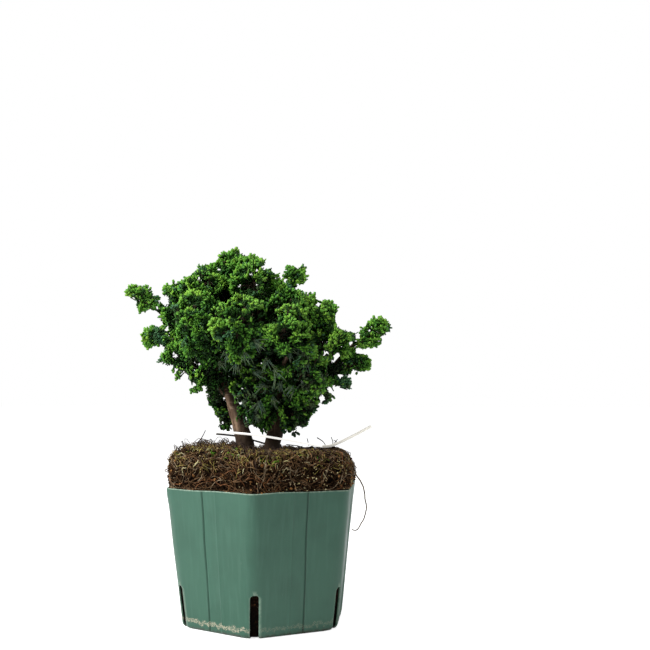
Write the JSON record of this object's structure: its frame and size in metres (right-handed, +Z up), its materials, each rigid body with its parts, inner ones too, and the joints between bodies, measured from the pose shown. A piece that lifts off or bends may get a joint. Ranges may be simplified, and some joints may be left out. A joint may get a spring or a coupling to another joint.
{
  "type": "potted conifer",
  "caption": "Small bushy evergreen with a forked pair of stems and fan-shaped sprays, raised on its root ball in a six-sided nursery pot.",
  "frame": {"origin": "centre of the flat underside of the pot", "axes": "+Z up through the plant; -Y towards the corner of the pot that faces the viewer; +X to the viewer's right"},
  "size_m": [0.1669, 0.1264, 0.2372],
  "materials": {
    "pot_green_plastic": "thin moulded grey-green plastic, semi-gloss, scuffed, with a pale worn rim",
    "root_ball_brown": "moist peat and bark soil held by a mat of fine brown roots, with moss on top",
    "tie_white_plastic": "narrow flat off-white plastic tie",
    "bark_red_brown": "rough red-brown bark with shallow lengthwise ridges",
    "foliage_bright": "fresh yellow-green scale leaves in fans",
    "foliage_deep": "deep blue-green older scale leaves in fans"
  },
  "bodies": {
    "root": {"pot": "pot_green_plastic", "root_ball": "root_ball_brown", "tie_strip": "tie_white_plastic", "left_trunk": "bark_red_brown", "right_trunk": "bark_red_brown", "left_spur_bough": "bark_red_brown", "left_low_spur_bough": "bark_red_brown", "left_shoulder_bough": "bark_red_brown", "left_front_bough": "bark_red_brown", "left_back_bough": "bark_red_brown", "left_lower_bough": "bark_red_brown", "right_limb": "bark_red_brown", "right_low_bough": "bark_red_brown", "right_top_bough": "bark_red_brown", "right_mid_bough": "bark_red_brown", "right_front_bough": "bark_red_brown", "right_back_bough": "bark_red_brown", "crown_back_bough": "bark_red_brown", "low_back_bough": "bark_red_brown", "crown_top": "foliage_bright", "crown_front": "foliage_bright", "crown_back": "foliage_bright", "upper_left": "foliage_bright", "upper_left_back": "foliage_bright", "left_shoulder": "foliage_bright", "left_spur": "foliage_bright", "left_low_spur": "foliage_bright", "left_front": "foliage_bright", "left_lower": "foliage_deep", "left_fringe": "foliage_deep", "centre_front": "foliage_bright", "centre_low": "foliage_deep", "right_front": "foliage_bright", "low_front_right": "foliage_deep", "right_top_spur": "foliage_bright", "right_upper": "foliage_bright", "right_shoulder": "foliage_bright", "right_mid": "foliage_bright", "right_spur": "foliage_bright", "right_low_spur": "foliage_bright", "right_lower": "foliage_deep", "low_right": "foliage_deep", "low_back": "foliage_deep", "back_left": "foliage_bright", "back_right": "foliage_bright", "back_right_low": "foliage_deep"}
  },
  "joints": []
}
